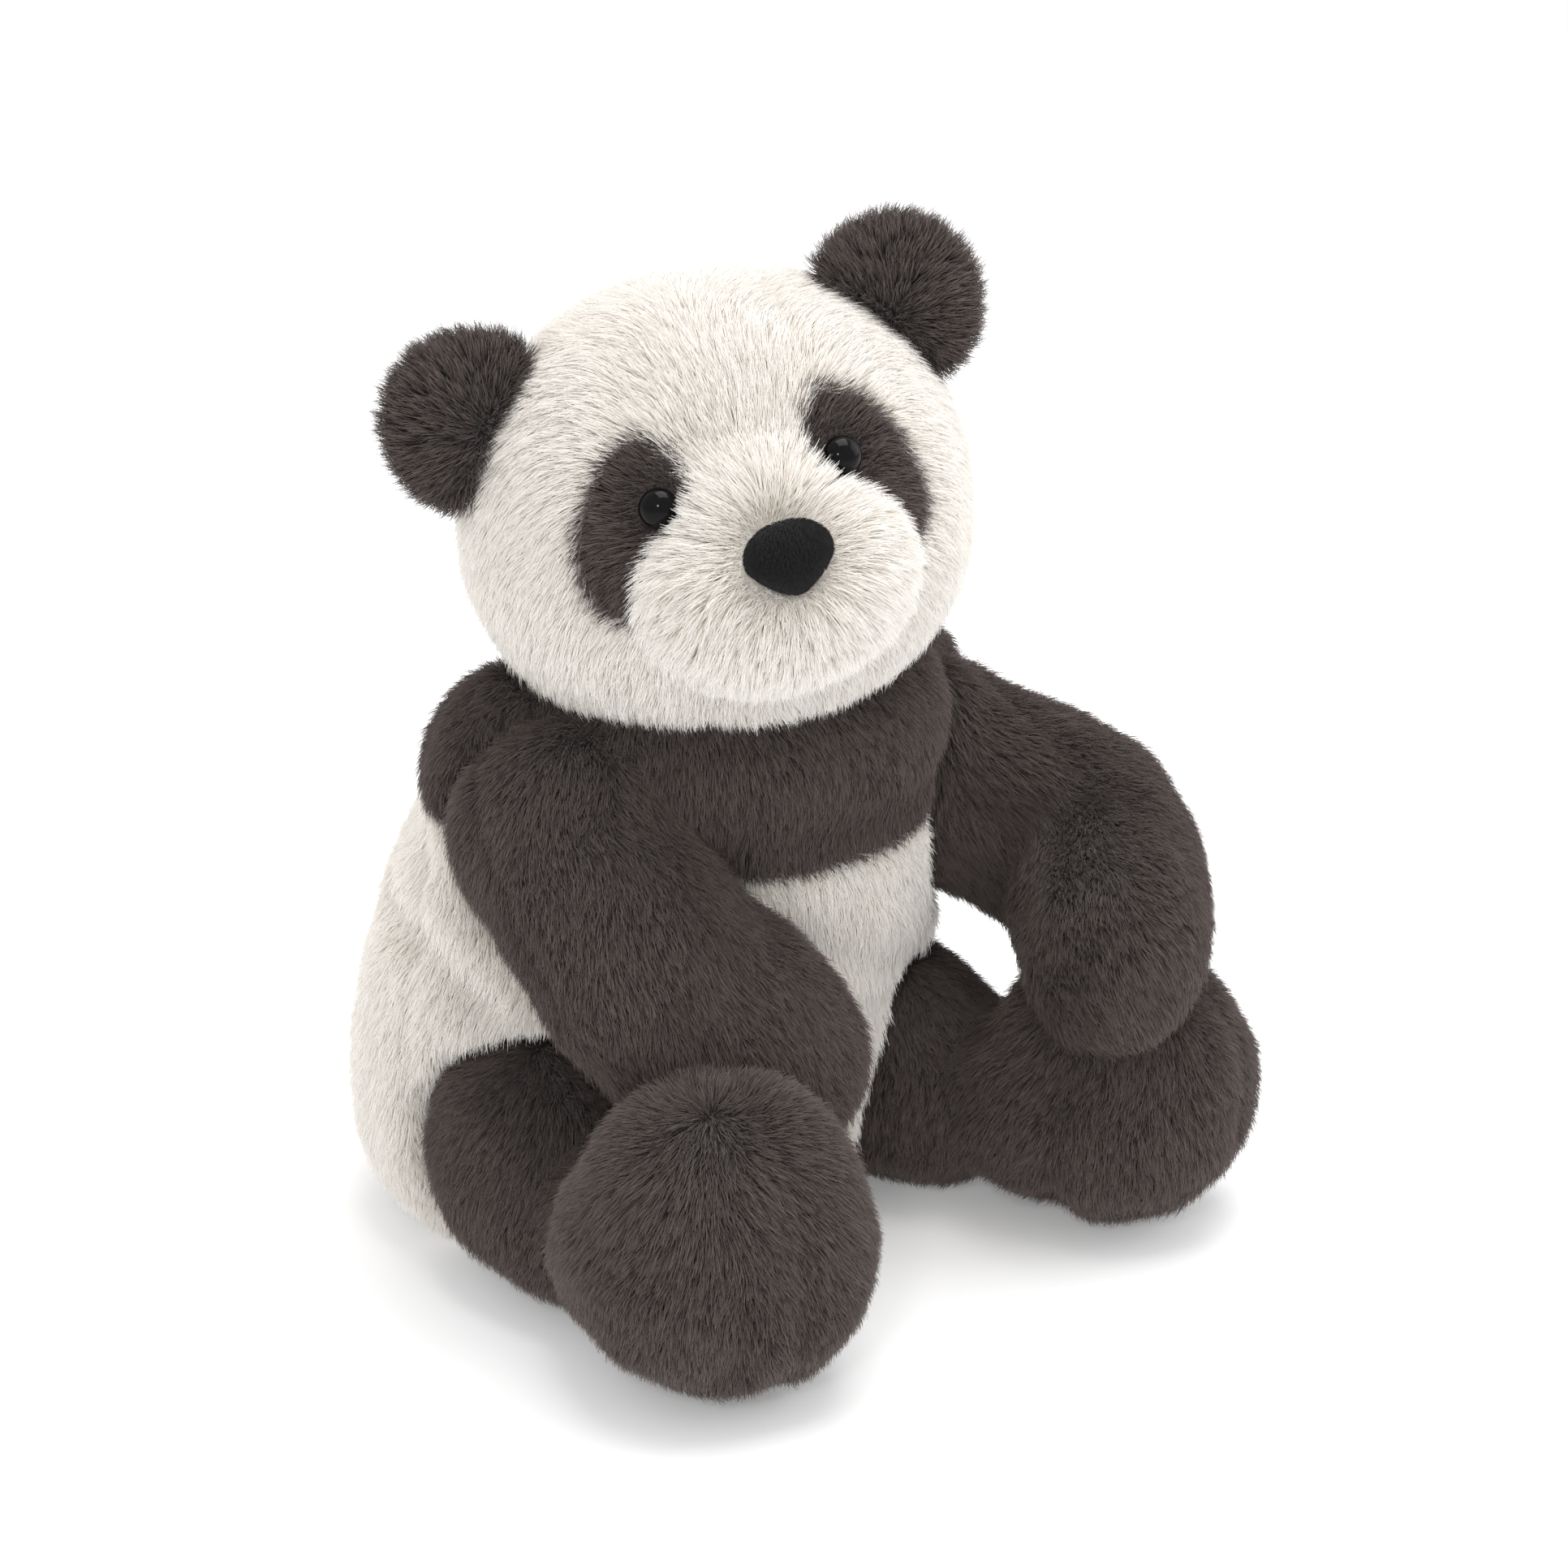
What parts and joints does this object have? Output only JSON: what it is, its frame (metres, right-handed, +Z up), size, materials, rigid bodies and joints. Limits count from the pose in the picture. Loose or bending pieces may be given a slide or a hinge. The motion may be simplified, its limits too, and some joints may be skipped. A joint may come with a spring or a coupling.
{
  "type": "plush panda, sitting",
  "caption": "Sitting plush panda with a soft white body and dark limbs, ears, yoke and eye patches, sewn over stuffing, with a pellet-weighted seat and a head, ears, arms and legs that turn.",
  "frame": {"origin": "on the floor, under the middle of the seat", "axes": "+Z up, -Y the way that the toy faces, +X its own left"},
  "size_m": [0.2349, 0.2277, 0.2877],
  "materials": {
    "dark_plush": "long-pile plush, charcoal brown",
    "white_plush": "long-pile plush, cream white",
    "nose_velvet": "short-pile velvet, black",
    "eye_plastic": "gloss black",
    "washer_plastic": "natural",
    "polyester_fibre": "loose polyester fibre",
    "pouch_cloth": "plain woven cotton",
    "plastic_pellets": "natural"
  },
  "bodies": {
    "torso": {"chest_yoke": "dark_plush", "back_yoke": "dark_plush", "tummy_panel": "white_plush", "back_panel_left": "white_plush", "back_panel_right": "white_plush", "base_panel": "white_plush", "torso_stuffing": "polyester_fibre", "pellet_pouch": "pouch_cloth", "pellet_fill": "plastic_pellets"},
    "neck": {"neck_stuffing": "polyester_fibre"},
    "head": {"muzzle": "white_plush", "eye_patch_right": "dark_plush", "eye_patch_left": "dark_plush", "forehead_gusset": "white_plush", "chin_gusset": "white_plush", "head_side_right": "white_plush", "head_side_left": "white_plush", "nose": "nose_velvet", "eye_right": "eye_plastic", "eye_left": "eye_plastic", "eye_washer_right": "washer_plastic", "eye_washer_left": "washer_plastic", "head_stuffing": "polyester_fibre"},
    "ear_right": {"ear_right_front": "dark_plush", "ear_right_back": "dark_plush", "ear_right_wadding": "polyester_fibre"},
    "ear_left": {"ear_left_front": "dark_plush", "ear_left_back": "dark_plush", "ear_left_wadding": "polyester_fibre"},
    "arm_right": {"arm_right_front": "dark_plush", "arm_right_back": "dark_plush", "arm_right_stuffing": "polyester_fibre"},
    "arm_left": {"arm_left_front": "dark_plush", "arm_left_back": "dark_plush", "arm_left_stuffing": "polyester_fibre"},
    "leg_right": {"leg_right_outer": "dark_plush", "leg_right_inner": "dark_plush", "leg_right_stuffing": "polyester_fibre"},
    "leg_left": {"leg_left_outer": "dark_plush", "leg_left_inner": "dark_plush", "leg_left_stuffing": "polyester_fibre"}
  },
  "joints": [
    {"name": "neck_turn", "type": "hinge", "parent": "torso", "child": "neck", "pos_m": [-0.002, -0.041, 0.211], "axis": [0, 0, 1], "range_deg": [-30, 30]},
    {"name": "head_nod", "type": "hinge", "parent": "neck", "child": "head", "pos_m": [-0.002, -0.041, 0.211], "axis": [0.8991, -0.3819, 0.2138], "range_deg": [-10, 10]},
    {"name": "ear_right_fold", "type": "hinge", "parent": "head", "child": "ear_right", "pos_m": [-0.06155, -0.02198, 0.23766], "axis": [0.436, -0.0462, 0.8988], "range_deg": [-20, 20], "stiffness_Nm_per_rad": 0.05},
    {"name": "ear_left_fold", "type": "hinge", "parent": "head", "child": "ear_left", "pos_m": [0.03755, -0.06407, 0.26122], "axis": [0.6462, -0.4134, -0.6415], "range_deg": [-20, 20], "stiffness_Nm_per_rad": 0.05},
    {"name": "arm_right_lift", "type": "hinge", "parent": "torso", "child": "arm_right", "pos_m": [-0.05402, -0.04594, 0.13], "axis": [-0.9331, -0.1404, -0.3312], "range_deg": [0, 28]},
    {"name": "arm_left_lift", "type": "hinge", "parent": "torso", "child": "arm_left", "pos_m": [0.0739, -0.03699, 0.121], "axis": [-0.9778, 0.0024, -0.2098], "range_deg": [0, 28]},
    {"name": "hip_right_splay", "type": "hinge", "parent": "torso", "child": "leg_right", "pos_m": [-0.05537, -0.0375, 0.036], "axis": [0, 0, 1], "range_deg": [-10, 0]},
    {"name": "hip_left_splay", "type": "hinge", "parent": "torso", "child": "leg_left", "pos_m": [0.05852, -0.04084, 0.036], "axis": [0, 0, 1], "range_deg": [0, 10]}
  ]
}
